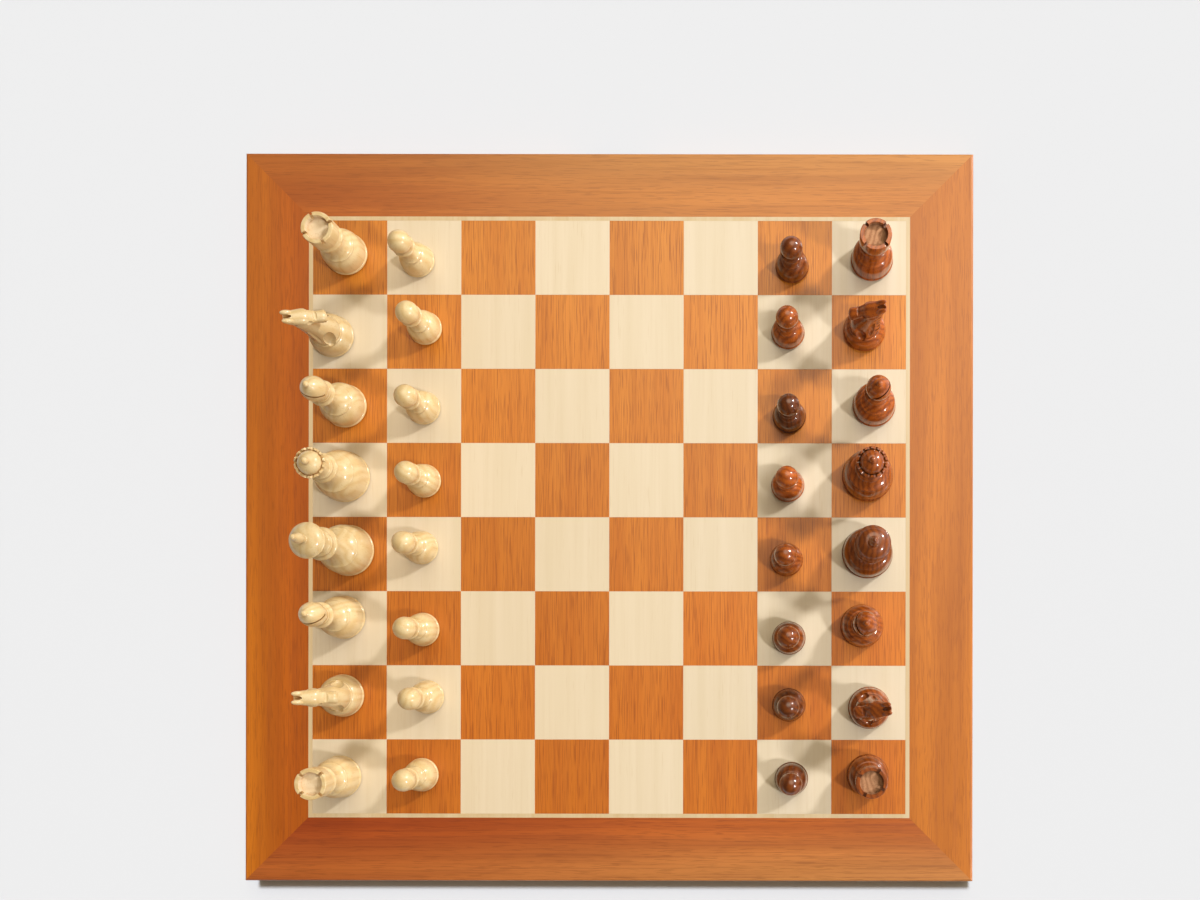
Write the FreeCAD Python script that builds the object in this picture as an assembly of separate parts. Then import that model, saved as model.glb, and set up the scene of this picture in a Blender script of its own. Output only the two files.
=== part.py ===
import FreeCAD, Part
import os
from math import acos, atan, cos, degrees, pi, radians, sin, sqrt, tan

Vector = FreeCAD.Vector
Placement = FreeCAD.Placement
Rotation = FreeCAD.Rotation
up = Vector(0, 0, 1)

# Driving dimensions, in millimetres. The board seen from above.
square = 55.0
squares_a_side = 8
inlay_width = 3.0
rail_width = 47.0
rail_edge_round = 1.5
rail_foot_bevel = 0.8

# Layers of the board, from the table up
foot_height = 2.5
bottom_panel_thickness = 3.0
battery_thickness = 7.5
battery_headroom = 2.5
loop_thickness = 0.15
sensor_thickness = 1.6
panel_thickness = 4.0
veneer_thickness = 0.6

# Joinery
joint_gap = 0.1
tongue_depth = 5.0
tongue_thickness = 2.4
rebate_width = 10.0
spline_thickness = 3.0
spline_width = 20.0
spline_margin = 16.0
rib_width = 8.0
rib_end_gap = 40.0

# Feet and screws
foot_diameter = 20.0
foot_taper = 0.8
foot_inset = 20.0
screw_diameter = 3.0
screw_head_diameter = 6.0
screw_length = 12.0
screw_gap = 0.05
screw_pitch = 115.0
screw_first = 75.0
small_screw_diameter = 1.8
small_screw_head = 3.4

# Sensor loops under the squares
loop_spacing = 15.0
loop_end_margin = 6.0
loop_trace = 1.2

# Electronics bay in the back rail
outer_wall = 6.0
bay_margin = 3.0
board_width = 84.0
board_depth = 44.0
board_thickness = 1.6
board_gap = 0.5
bearer_height = 1.5
bearer_width = 8.0
processor_side = 14.0
processor_height = 1.4
radio_length = 18.0
radio_width = 13.0
radio_height = 2.4
battery_length = 80.0
battery_width = 50.0
lead_diameter = 2.4
ribbon_width = 16.0
ribbon_thickness = 0.4

# Port plate, let into the back rail
plate_length = 58.0
plate_height = 12.0
plate_thickness = 1.6
plate_setback = 1.0
plate_screw_inset = 4.0
window_margin = 8.0
window_height = 8.6
port_gap = 0.3
usb_width = 8.94
usb_height = 3.26
usb_length = 7.4
usb_wall = 0.32
usb_tongue = 0.7
button_x = 13.0
button_diameter = 6.0
button_flange = 7.2
button_flange_thickness = 1.0
button_proud = 0.8
button_gap = 0.15
button_travel = 1.0
switch_width = 6.2
switch_depth = 4.0
switch_height = 3.4
light_x = -13.0
light_diameter = 3.0

# Chessmen
felt_thickness = 1.0
felt_inset = 1.2
coil_height = 5.0
coil_clearance = 0.1
king_base = 37.6
king_bead = 28.4
queen_base = 37.6
queen_bead = 28.4
bishop_base = 31.8
bishop_bead = 21.6
knight_base = 31.2
knight_bead = 22.8
rook_base = 31.2
rook_bead = 23.6
pawn_base = 24.6
pawn_bead = 13.8
pawn_head = 16.0
rook_tower = 22.4
rook_cup = 16.4
rook_cup_depth = 4.0
rook_slot = 2.2
rook_slot_depth = 3.2
queen_points = 14
queen_point_cut = 2.8
queen_point_depth = 1.3
bishop_cut = 1.3

# Worked out from the sizes above
field = square * squares_a_side
inner_half = field / 2 + inlay_width
outer_half = inner_half + rail_width
z_bottom = foot_height
z_floor = z_bottom + bottom_panel_thickness
z_ceiling = z_floor + battery_thickness + battery_headroom
z_sensor = z_ceiling + loop_thickness
z_sensor_top = z_sensor + sensor_thickness
z_panel = z_sensor_top + loop_thickness
z_veneer = z_panel + panel_thickness
z_top = z_veneer + veneer_thickness
z_board = z_floor + bearer_height
z_board_top = z_board + board_thickness
z_port = z_board_top + usb_height / 2
y_plate = outer_half - plate_setback
y_plate_back = y_plate - plate_thickness
y_board = outer_half - outer_wall - board_gap
bay_half = board_width / 2 + bay_margin


def export(node, *solids):
    shape = solids[0] if len(solids) == 1 else Part.makeCompound(list(solids))
    shape.exportStep("parts/" + node + ".step")


def block(low, high):
    size = Vector(*high) - Vector(*low)
    return Part.makeBox(size.x, size.y, size.z, Vector(*low))


def plate(points, z, thickness):
    corners = [Vector(x, y, z) for x, y in points]
    return Part.Face(Part.makePolygon(corners + corners[:1])).extrude(up * thickness)


def turn(shape, angle, center=Vector(0, 0, 0)):
    copy = shape.copy()
    copy.rotate(center, up, angle)
    return copy


def moved(shape, x, y, z):
    copy = shape.copy()
    copy.translate(Vector(x, y, z))
    return copy


def spun(edges):
    face = Part.Face(Part.Wire(edges))
    return face.revolve(Vector(0, 0, 0), up, 360)


def turned(start_radius, stretches):
    # Each stretch is a name, the radius at its top, its rise and its swell, where a hollow is negative.
    point = Vector(start_radius, 0, felt_thickness)
    foot = Vector(0, 0, felt_thickness)
    edges = [Part.makeLine(foot, point)]
    for name, radius, rise, swell in stretches:
        target = Vector(radius, 0, point.z + rise)
        if swell:
            chord = target - point
            outward = Vector(chord.z, 0, -chord.x).normalize()
            middle = (point + target) * 0.5 + outward * swell
            edges.append(Part.Arc(point, middle, target).toShape())
        else:
            edges.append(Part.makeLine(point, target))
        point = target
    edges.append(Part.makeLine(point, foot))
    return spun(edges)


def ball(name, neck_radius, ball_radius):
    # A ball that stands on a neck and closes the turning at the axis
    rise = ball_radius + sqrt(ball_radius**2 - neck_radius**2)
    chord = sqrt(neck_radius**2 + rise**2)
    return (name, 0.0, rise, ball_radius * (1 - neck_radius / chord))


def top_of(stretches, wanted):
    names = [name for name, radius, rise, swell in stretches]
    passed = stretches[: names.index(wanted) + 1]
    return felt_thickness + sum(rise for name, radius, rise, swell in passed)


def leaned(name, start, end, lean, last_lean):
    # A stretch whose side leans in by the first angle where it starts and by the last where it ends
    rise = (start - end) / tan(radians((lean + last_lean) / 2))
    chord = sqrt((start - end) ** 2 + rise**2)
    return (name, end, rise, chord / 2 * tan(radians((last_lean - lean) / 4)))


def dome_turning(base, wall, shoulder, bead, waist, sweep_lean):
    # A thin plinth, a tall dome with a bead on top, and a hollow sweep that ends upright at the waist
    radius = base / 2
    crown = bead / 2
    lean = 2 * degrees(atan((radius - 1.3 - crown) / shoulder))
    return [
        ("plinth edge", radius, 0.7, 0.2),
        ("plinth", radius - 0.2, 1.3, 0.15),
        ("quirk", radius - 0.6, 0.3, 0.0),
        ("dome wall", radius - 1.0, wall, 0.25),
        leaned("dome shoulder", radius - 1.0, crown + 0.3, 8, lean - 8),
        ("bead", crown - 0.4, 1.7, 0.6),
        leaned("sweep", crown - 0.4, waist, sweep_lean, -6),
    ]


def chessman(wood, base, coil_diameter):
    # The wood, hollowed from below for the tag coil, with its felt underneath
    bore = Part.makeCylinder(coil_diameter / 2 + coil_clearance, coil_height, Vector(0, 0, felt_thickness))
    coil = Part.makeCylinder(coil_diameter / 2, coil_height, Vector(0, 0, felt_thickness))
    felt = Part.makeCylinder(base / 2 - felt_inset, felt_thickness)
    return Part.makeCompound([wood.cut(bore), coil, felt])


def king():
    radius = king_base / 2
    stretches = dome_turning(king_base, 9.7, 8.0, king_bead, 6.6, 58) + [
        ("stem", 6.8, 8.8, -0.1),
        ("collar underside", 11.0, 1.4, -0.2),
        ("collar", 10.8, 2.8, 0.85),
        ("collar top", 8.7, 0.8, 0.0),
        ("upper ring", 8.5, 1.9, 0.7),
        ("neck", 7.2, 1.4, -0.4),
        ("crown flare", 12.0, 16.0, -1.4),
        ("crown rim", 11.6, 1.8, 0.6),
        ("crown dome", 3.2, 4.9, 1.5),
        ("finial neck", 2.2, 1.2, -0.4),
        ("finial stalk", 3.7, 5.8, -0.3),
        leaned("finial bud", 3.7, 1.5, 0, 34),
        ball("finial button", 1.5, 2.0),
    ]
    return chessman(turned(radius - 0.9, stretches), king_base, 20.0)


def queen():
    radius = queen_base / 2
    rim = 10.6
    stretches = dome_turning(queen_base, 9.7, 8.0, queen_bead, 6.1, 70) + [
        ("stem", 6.2, 2.6, 0.0),
        ("collar underside", 9.9, 1.1, -0.2),
        ("collar", 9.7, 2.4, 0.8),
        ("collar top", 7.9, 0.7, 0.0),
        ("upper ring", 7.7, 1.8, 0.6),
        ("neck", 6.5, 1.4, -0.4),
        ("coronet flare", rim, 15.6, -1.3),
        ("coronet lip", rim - 0.2, 1.2, 0.3),
        ("coronet rim", rim - 1.3, 0.2, 0.0),
        ("coronet hollow", rim - 1.9, -1.6, -0.2),
        ("dome", 2.0, 6.4, 1.6),
        ("finial neck", 1.6, 0.4, 0.0),
        ball("finial", 1.6, 2.4),
    ]
    wood = turned(radius - 0.9, stretches)
    rim_z = top_of(stretches, "coronet rim")
    cutter = Part.makeCylinder(queen_point_cut / 2, rim, Vector(0, 0, 0), Vector(1, 0, 0))
    cutter = moved(cutter, rim - 2.2, 0, rim_z + queen_point_cut / 2 - queen_point_depth)
    cutters = [turn(cutter, 360 * k / queen_points) for k in range(queen_points)]
    wood = wood.cut(Part.makeCompound(cutters))
    return chessman(wood, queen_base, 20.0)


def bishop():
    radius = bishop_base / 2
    stretches = dome_turning(bishop_base, 8.7, 6.5, bishop_bead, 4.8, 60) + [
        ("stem", 5.0, 8.4, -0.1),
        ("collar underside", 8.6, 1.0, -0.2),
        ("collar", 8.4, 2.0, 0.7),
        ("collar top", 6.6, 0.6, 0.0),
        ("upper ring", 6.4, 1.4, 0.5),
        ("neck", 5.4, 1.2, -0.4),
        leaned("mitre, lower half", 5.4, 8.7, -40, 0),
        leaned("mitre, upper half", 8.7, 2.2, 0, 60),
        ("finial neck", 1.7, 0.4, 0.0),
        ball("finial", 1.7, 2.2),
    ]
    wood = turned(radius - 0.9, stretches)
    mitre_z = top_of(stretches, "mitre, lower half")
    slot = block((0, -12, -bishop_cut / 2), (14, 12, bishop_cut / 2))
    slot.rotate(Vector(0, 0, 0), Vector(0, 1, 0), -48)
    slot.translate(Vector(0.5, 0, mitre_z - 0.5))
    return chessman(wood.cut(slot), bishop_base, 16.0)


def rook():
    radius = rook_base / 2
    tower = rook_tower / 2
    cup = rook_cup / 2
    stretches = dome_turning(rook_base, 9.7, 5.2, rook_bead, 8.4, 60) + [
        ("body", 8.7, 6.8, -0.1),
        ("collar underside", 10.4, 0.9, -0.2),
        ("collar", 10.1, 2.0, 0.6),
        ("collar top", 9.0, 0.5, 0.0),
        ("throat", tower - 0.5, 5.2, -0.9),
        ("tower edge", tower, 0.6, 0.15),
        ("tower wall", tower, 10.7, 0.0),
        ("tower lip", tower - 0.7, 0.5, 0.15),
        ("rim", cup + 0.3, 0.0, 0.0),
        ("cup lip", cup, -0.4, 0.0),
        ("cup wall", cup - 0.2, 0.4 - rook_cup_depth, 0.0),
        ("cup floor", 0.0, 0.0, 0.0),
    ]
    wood = turned(radius - 0.9, stretches)
    rim_z = top_of(stretches, "rim")
    slot = block((cup - 1, -rook_slot / 2, rim_z - rook_slot_depth), (tower + 1, rook_slot / 2, rim_z + 1))
    slots = [turn(slot, 45 + 90 * k) for k in range(4)]
    return chessman(wood.cut(Part.makeCompound(slots)), rook_base, 16.0)


def pawn():
    radius = pawn_base / 2
    stretches = dome_turning(pawn_base, 5.7, 6.4, pawn_bead, 4.1, 55) + [
        ("stem", 4.2, 7.6, -0.1),
        ("collar underside", 7.6, 0.9, -0.2),
        ("collar", 7.3, 1.8, 0.6),
        ("collar top", 4.7, 0.9, -0.1),
        ball("head", 4.7, pawn_head / 2),
    ]
    return chessman(turned(radius - 0.9, stretches), pawn_base, 12.0)


def oval(middle, along, across, ahead, behind, half_width, narrowing):
    # A closed section: 'along' points ahead, 'across' sideways, and it narrows towards the back.
    points = []
    for k in range(16):
        angle = 2 * pi * k / 16
        reach = ahead if cos(angle) > 0 else behind
        slim = 1 - narrowing * (1 - cos(angle)) / 2
        points.append(middle + along * (reach * cos(angle)) + across * (half_width * slim * sin(angle)))
    curve = Part.BSplineCurve()
    curve.interpolate(Points=points, PeriodicFlag=True)
    return Part.Wire(curve.toShape())


def between(rows, z, item):
    # One measure of the neck at a height between two rows
    for low, high in zip(rows, rows[1:]):
        if low[0] <= z <= high[0]:
            share = (z - low[0]) / (high[0] - low[0])
            return low[item] + share * (high[item] - low[item])


def stretched_ball(middle, along, sideways, tall, lean=0, roll=0):
    # A ball drawn out three ways, leaned forwards, then rolled sideways
    matrix = FreeCAD.Matrix()
    matrix.scale(along, sideways, tall)
    shape = Part.makeSphere(1.0).transformGeometry(matrix)
    shape.rotate(Vector(0, 0, 0), Vector(0, 1, 0), lean)
    shape.rotate(Vector(0, 0, 0), Vector(1, 0, 0), roll)
    shape.translate(middle)
    return shape


def horse():
    side = Vector(0, 1, 0)
    ahead = Vector(1, 0, 0)
    # Neck: height, front, back, half width, how much the crest is narrowed
    neck_rows = [
        (12.0, 10.8, -10.8, 10.7, 0.0),
        (17.0, 11.2, -10.9, 10.7, 0.1),
        (23.0, 10.8, -10.8, 10.2, 0.25),
        (30.0, 7.8, -10.8, 9.2, 0.4),
        (38.0, 3.2, -11.2, 7.8, 0.5),
        (46.0, 1.0, -11.6, 6.4, 0.5),
        (52.0, -1.0, -10.8, 5.0, 0.4),
        (55.5, -4.0, -9.4, 3.2, 0.2),
    ]
    sections = []
    for z, front, back, half_width, narrowing in neck_rows:
        middle = Vector((front + back) / 2, 0, z)
        reach = (front - back) / 2
        sections.append(oval(middle, ahead, side, reach, reach, half_width, narrowing))
    shape = Part.makeLoft(sections, True)
    # Head: distance from the poll towards the muzzle, reach above, reach below, half width
    poll = Vector(-8.0, 0, 53.5)
    down_face = Vector(20.0, 0, -13.0).normalize()
    above = Vector(-down_face.z, 0, down_face.x)
    head_rows = [
        (-4.6, 0.9, 1.6, 2.4),
        (-3.0, 2.4, 3.2, 4.4),
        (0.0, 3.4, 4.2, 5.4),
        (5.0, 4.3, 6.6, 6.1),
        (10.0, 4.2, 7.6, 6.3),
        (14.5, 2.7, 6.8, 4.8),
        (18.5, 3.2, 6.0, 4.4),
        (21.8, 3.5, 5.4, 4.8),
        (24.0, 2.0, 3.4, 3.5),
    ]
    sections = []
    for distance, over, under, half_width in head_rows:
        middle = poll + down_face * distance
        sections.append(oval(middle, above, side, over, under, half_width, 0.15))
    shape = shape.fuse(Part.makeLoft(sections, True))
    for sign in (-1, 1):
        cheek = poll + down_face * 8.2 - above * 3.2 + side * (sign * 2.8)
        shape = shape.fuse(stretched_ball(cheek, 5.8, 3.8, 4.8, 33))
        ear = poll - down_face * 2.0 + above * 1.9 + side * (sign * 3.0)
        shape = shape.fuse(stretched_ball(ear, 4.8, 1.9, 1.9, 42))
    cuts = []
    # Mouth, cut in from the front of the muzzle, the notch across the nose, and the hollow between the ears
    mouth = block((-6, -8, -0.55), (4, 8, 0.55))
    mouth.Placement = Placement(poll + down_face * 23.6 - above * 1.8, Rotation(ahead, down_face))
    cuts.append(mouth)
    notch = poll + down_face * 15.6 + above * 3.4
    cuts.append(Part.makeCylinder(1.6, 16, notch - side * 8, side))
    cuts.append(stretched_ball(poll - down_face * 4.4 + above * 2.8, 4.0, 1.2, 2.6, 33))
    for sign in (-1, 1):
        # Nostril, eye socket, two gouged leaves on the neck, and the locks of the mane
        cuts.append(Part.makeSphere(1.2, poll + down_face * 21.8 + above * 1.0 + side * (sign * 4.8)))
        eye = poll + down_face * 12.0 + above * 1.8
        cuts.append(stretched_ball(eye + side * (sign * 6.2), 2.6, 2.6, 2.0, 33))
        cuts.append(stretched_ball(Vector(3.2, sign * 10.9, 22.5), 4.0, 3.6, 6.8, 20, sign * 10))
        cuts.append(stretched_ball(Vector(-4.4, sign * 8.8, 27.0), 2.0, 3.0, 10.0, -6, sign * 12))
        for k in range(6):
            lock_z = 21.0 + 5.4 * k
            root = Vector(between(neck_rows, lock_z, 2) - 0.6, 0, lock_z - 3.4)
            tip = Vector(-5.6, sign * between(neck_rows, lock_z, 3) * 0.86, lock_z + 3.2)
            cuts.append(Part.makeCylinder(1.0, (tip - root).Length, root, tip - root))
    return shape.cut(cuts)


def knight():
    radius = knight_base / 2
    stretches = dome_turning(knight_base, 6.0, 4.6, knight_bead, 10.0, 60)[:-1] + [("seat", 0.0, 0.0, 0.0)]
    wood = turned(radius - 0.9, stretches).fuse(horse())
    return chessman(wood, knight_base, 16.0)


def rail_section():
    # The front rail's section, drawn outwards from the edge of the inlay
    top_tongue = z_panel + tongue_thickness + joint_gap
    deep = tongue_depth + joint_gap
    corner = rail_edge_round * (1 - sqrt(0.5))
    outline = [
        (0.0, z_top),
        (rail_width - rail_edge_round, z_top),
        (rail_width, z_top - rail_edge_round),
        (rail_width, z_bottom + rail_foot_bevel),
        (rail_width - rail_foot_bevel, z_bottom),
        (rebate_width, z_bottom),
        (rebate_width, z_floor),
        (0.0, z_floor),
        (0.0, z_panel),
        (deep, z_panel),
        (deep, top_tongue),
        (0.0, top_tongue),
    ]
    points = [Vector(-outer_half, -inner_half - u, z) for u, z in outline]
    edges = []
    for start, end in zip(points, points[1:] + points[:1]):
        edges.append(Part.makeLine(start, end))
    middle = Vector(-outer_half, -outer_half + corner, z_top - corner)
    edges[1] = Part.Arc(points[1], middle, points[2]).toShape()
    return Part.Face(Part.Wire(edges))


def screw(diameter, head, length):
    # Countersunk, pointing up from its head at z = 0
    radius = diameter / 2
    cone = (head - diameter) / 2
    points = [(0, 0), (head / 2, 0), (radius, cone), (radius, length - diameter), (0, length)]
    corners = [Vector(r, 0, z) for r, z in points]
    return spun([Part.makeLine(a, b) for a, b in zip(corners, corners[1:] + corners[:1])])


def loop(length, width, z):
    outer = block((-length / 2, -width / 2, z), (length / 2, width / 2, z + loop_thickness))
    hole_x = length / 2 - loop_trace
    hole_y = width / 2 - loop_trace
    return outer.cut(block((-hole_x, -hole_y, z), (hole_x, hole_y, z + loop_thickness)))


def rounded_bar(width, height, y_low, y_high, x, z):
    # A bar with half-round sides that runs along Y
    radius = height / 2
    flat = width / 2 - radius
    a = Vector(x - flat, y_low, z - radius)
    b = Vector(x + flat, y_low, z - radius)
    c = Vector(x + flat, y_low, z + radius)
    d = Vector(x - flat, y_low, z + radius)
    right = Part.Arc(b, Vector(x + width / 2, y_low, z), c).toShape()
    left = Part.Arc(d, Vector(x - width / 2, y_low, z), a).toShape()
    wire = Part.Wire([Part.makeLine(a, b), right, Part.makeLine(c, d), left])
    return Part.Face(wire).extrude(Vector(0, y_high - y_low, 0))


def rod(diameter, y_low, y_high, x, z):
    return Part.makeCylinder(diameter / 2, y_high - y_low, Vector(x, y_low, z), Vector(0, 1, 0))


def routed(points, radius):
    # A path of straight runs joined by arcs that touch both runs
    edges = []
    start = points[0]
    for before, corner, after in zip(points, points[1:], points[2:]):
        back = (before - corner).normalize()
        on = (after - corner).normalize()
        half = back.getAngle(on) / 2
        reach = radius / tan(half)
        first = corner + back * reach
        last = corner + on * reach
        inward = (back + on).normalize()
        middle = corner + inward * (radius / sin(half) - radius)
        edges.append(Part.makeLine(start, first))
        edges.append(Part.Arc(first, middle, last).toShape())
        start = last
    edges.append(Part.makeLine(start, points[-1]))
    return Part.Wire(edges)


def build_board():
    section_bar = rail_section().extrude(Vector(2 * outer_half, 0, 0))
    mitre = [(-outer_half, -outer_half), (outer_half, -outer_half)]
    mitre += [(inner_half, -inner_half), (-inner_half, -inner_half)]
    rail = section_bar.common(plate(mitre, 0, 2 * z_top))

    # Screws that hold the bottom panel, the same on each side
    reach = inner_half + rebate_width / 2
    wide = 2 * screw_gap
    wide_screw = screw(screw_diameter + wide, screw_head_diameter + wide, screw_length + wide)
    thin_screw = screw(screw_diameter, screw_head_diameter, screw_length)
    screws = []
    holes = []
    for side in range(4):
        for x in (-screw_first - screw_pitch, -screw_first, screw_first, screw_first + screw_pitch):
            screws.append(turn(moved(thin_screw, x, -reach, z_bottom), 90 * side))
            holes.append(turn(moved(wide_screw, x, -reach, z_bottom), 90 * side))

    # Loose splines across the mitres
    spline_reach = (inner_half + outer_half) / 2
    spline_length = rail_width * sqrt(2) - 2 * spline_margin
    spline_z = (z_floor + z_panel - spline_thickness) / 2
    spline = block(
        (-spline_length / 2, -spline_width / 2, spline_z),
        (spline_length / 2, spline_width / 2, spline_z + spline_thickness),
    )
    splines = []
    for corner in range(4):
        placed = moved(turn(spline, 45), spline_reach, spline_reach, 0)
        splines.append(turn(placed, 90 * corner))

    tools = Part.makeCompound(holes + splines)
    rails = [turn(rail, 90 * side).cut(tools) for side in range(4)]

    # Electronics bay, port recess and window in the back rail
    plate_half = plate_length / 2 + joint_gap
    plate_up = plate_height / 2 + joint_gap
    window_half = plate_length / 2 - window_margin
    y_bay = outer_half - outer_wall
    bay = block((-bay_half, inner_half - 1, z_floor), (bay_half, y_bay, z_ceiling))
    recess = block((-plate_half, y_plate_back, z_port - plate_up), (plate_half, outer_half + 1, z_port + plate_up))
    window_low = (-window_half, y_bay - 1, z_port - window_height / 2)
    window = block(window_low, (window_half, outer_half, z_port + window_height / 2))
    rails[2] = rails[2].cut([bay, recess, window])

    small_screws, bearers = electronics()
    rails[2] = rails[2].cut(Part.makeCompound([wide for thin, wide in small_screws]))
    export("small_screws", *[thin for thin, wide in small_screws])
    for name, shape in zip(("rail_front", "rail_right", "rail_back", "rail_left"), rails):
        export(name, shape)
    export("mitre_splines", *splines)
    export("bottom_screws", *screws)

    half = inner_half + rebate_width - joint_gap
    bottom = block((-half, -half, z_bottom), (half, half, z_floor))
    export("bottom_panel", bottom.cut(Part.makeCompound(holes)))

    tongue = inner_half + tongue_depth
    panel = block((-inner_half, -inner_half, z_panel), (inner_half, inner_half, z_veneer))
    tongue_box = block((-tongue, -tongue, z_panel), (tongue, tongue, z_panel + tongue_thickness))
    export("playing_panel", panel.fuse(tongue_box).removeSplitter())

    edge = field / 2
    strip = plate(
        [(-inner_half, -inner_half), (inner_half, -inner_half), (edge, -edge), (-edge, -edge)],
        z_veneer,
        veneer_thickness,
    )
    export("inlay_strips", *[turn(strip, 90 * side) for side in range(4)])

    light = []
    dark = []
    for column in range(squares_a_side):
        for row in range(squares_a_side):
            x = column * square - edge
            y = row * square - edge
            tile = block((x, y, z_veneer), (x + square, y + square, z_top))
            (light if (column + row) % 2 == 0 else dark).append(tile)
    export("light_squares", *light)
    export("dark_squares", *dark)

    export("sensor_board", block((-edge, -edge, z_sensor), (edge, edge, z_sensor_top)))
    length = field - 2 * loop_end_margin
    width = square - loop_spacing
    lanes = [(k + 0.5) * square - edge for k in range(squares_a_side)]
    export("row_loops", *[moved(loop(length, width, z_sensor_top), 0, y, 0) for y in lanes])
    export("column_loops", *[moved(loop(width, length, z_ceiling), x, 0, 0) for x in lanes])

    rib_half = inner_half - rib_end_gap
    ribs = []
    for x in (-3 * square, -square, square, 3 * square):
        ribs.append(block((x - rib_width / 2, -rib_half, z_floor), (x + rib_width / 2, rib_half, z_sensor)))
    export("support_battens", *ribs, *bearers)

    radius = foot_diameter / 2
    foot = Part.makeCone(radius - foot_taper, radius, foot_height)
    place = outer_half - foot_inset
    export("feet", *[turn(moved(foot, place, place, 0), 90 * k) for k in range(4)])


def electronics():
    # Main board on two bearers in the bay. It returns the small screws, each with its hole, and the bearers.
    y_inner = y_board - board_depth
    bearer_x = board_width / 2 - bearer_width / 2 - 1
    bearer_low = inner_half + rebate_width + 1
    bearer_high = y_board - 1
    main = block((-board_width / 2, y_inner, z_board), (board_width / 2, y_board, z_board_top))
    screw_at = []
    for x in (-bearer_x, bearer_x):
        screw_at += [(x, bearer_low + 4), (x, bearer_high - 4)]
    length = board_thickness + bearer_height + bottom_panel_thickness * 0.6
    cone = (small_screw_head - small_screw_diameter) / 2
    thin = screw(small_screw_diameter, small_screw_head, length + cone)
    wide = screw(small_screw_diameter + 2 * screw_gap, small_screw_head + 2 * screw_gap, length + cone)
    for shape in (thin, wide):
        shape.rotate(Vector(0, 0, 0), Vector(1, 0, 0), 180)
    pairs = [(moved(thin, x, y, z_board_top), moved(wide, x, y, z_board_top)) for x, y in screw_at]
    holes = Part.makeCompound([hole for solid, hole in pairs])
    bearers = []
    for x in (-bearer_x, bearer_x):
        bearer = block(
            (x - bearer_width / 2, bearer_low, z_floor),
            (x + bearer_width / 2, bearer_high, z_board),
        )
        bearers.append(bearer.cut(holes))

    # Connectors soldered to the main board
    socket_x = board_width / 2 - 16
    socket_z = z_board_top + 1.7
    socket = block((socket_x - 4, y_inner + 1, z_board_top), (socket_x + 4, y_inner + 7, z_board_top + 3.4))
    ribbon_x = -square / 2
    header_y = y_inner + 10
    header_low = (ribbon_x - ribbon_width / 2 - 2, header_y, z_board_top)
    header = block(header_low, (ribbon_x + ribbon_width / 2 + 2, header_y + 4, z_board_top + 2.2))
    export("main_board", main.cut(holes), socket, header)

    middle_y = y_board - board_depth * 0.42
    chip_half = processor_side / 2
    chip = block(
        (-chip_half, middle_y - chip_half, z_board_top),
        (chip_half, middle_y + chip_half, z_board_top + processor_height),
    )
    export("processor", chip)
    radio_low = (bearer_x - 6 - radio_length, middle_y - radio_width / 2, z_board_top)
    radio_high = (bearer_x - 6, middle_y + radio_width / 2, z_board_top + radio_height)
    export("radio_module", block(radio_low, radio_high))

    # Flat ribbon from the header up to the loops under the sensor board
    low = z_board_top + ribbon_thickness / 2
    rise = z_ceiling - joint_gap - ribbon_thickness - z_board_top
    bend = 0.9 * rise
    swing = acos(1 - rise / (2 * bend))
    run_low = header_y - 6
    half_way = run_low - bend * sin(swing)
    run_high = half_way - bend * sin(swing)
    start = Vector(ribbon_x, header_y, low)
    a = Vector(ribbon_x, run_low, low)
    b = Vector(ribbon_x, half_way, low + rise / 2)
    c = Vector(ribbon_x, run_high, low + rise)
    end = Vector(ribbon_x, run_high - 10, low + rise)
    a_mid = Vector(ribbon_x, run_low - bend * sin(swing / 2), low + bend * (1 - cos(swing / 2)))
    c_mid = Vector(ribbon_x, run_high + bend * sin(swing / 2), low + rise - bend * (1 - cos(swing / 2)))
    path = Part.Wire([
        Part.makeLine(start, a),
        Part.Arc(a, a_mid, b).toShape(),
        Part.Arc(b, c_mid, c).toShape(),
        Part.makeLine(c, end),
    ])
    half_width = ribbon_width / 2
    half_thick = ribbon_thickness / 2
    corners = [(-half_width, -half_thick), (half_width, -half_thick)]
    corners += [(half_width, half_thick), (-half_width, half_thick)]
    points = [start + Vector(x, 0, z) for x, z in corners]
    section = Part.makePolygon(points + points[:1])
    export("ribbon_cable", path.makePipeShell([section], True, False))

    # Battery on the bottom panel between two ribs, and its lead
    battery_x = 2 * square
    battery_y = inner_half - rib_end_gap - battery_width
    battery_low = (battery_x - battery_length / 2, battery_y, z_floor)
    battery_high = (battery_x + battery_length / 2, battery_y + battery_width, z_floor + battery_thickness)
    pack = block(battery_low, battery_high)
    rounding = [edge for edge in pack.Edges if abs(edge.tangentAt(edge.FirstParameter).z) < 0.5]
    pack = pack.makeFillet(battery_thickness * 0.2, rounding)
    export("battery_pack", pack)
    lead_x = battery_x - battery_length * 0.35
    lead_start = Vector(lead_x, battery_y + battery_width, socket_z)
    lead_mid = (battery_y + battery_width + y_inner) / 2
    lead = routed(
        [
            lead_start,
            Vector(lead_x, lead_mid, socket_z),
            Vector(socket_x, lead_mid, socket_z),
            Vector(socket_x, y_inner + 1, socket_z),
        ],
        min(6.0, (y_inner + 1 - lead_mid) * 0.8),
    )
    ring = Part.Wire(Part.makeCircle(lead_diameter / 2, lead_start, Vector(0, 1, 0)))
    export("battery_lead", lead.makePipeShell([ring], True, False))

    return pairs + ports(length + cone), bearers


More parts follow.
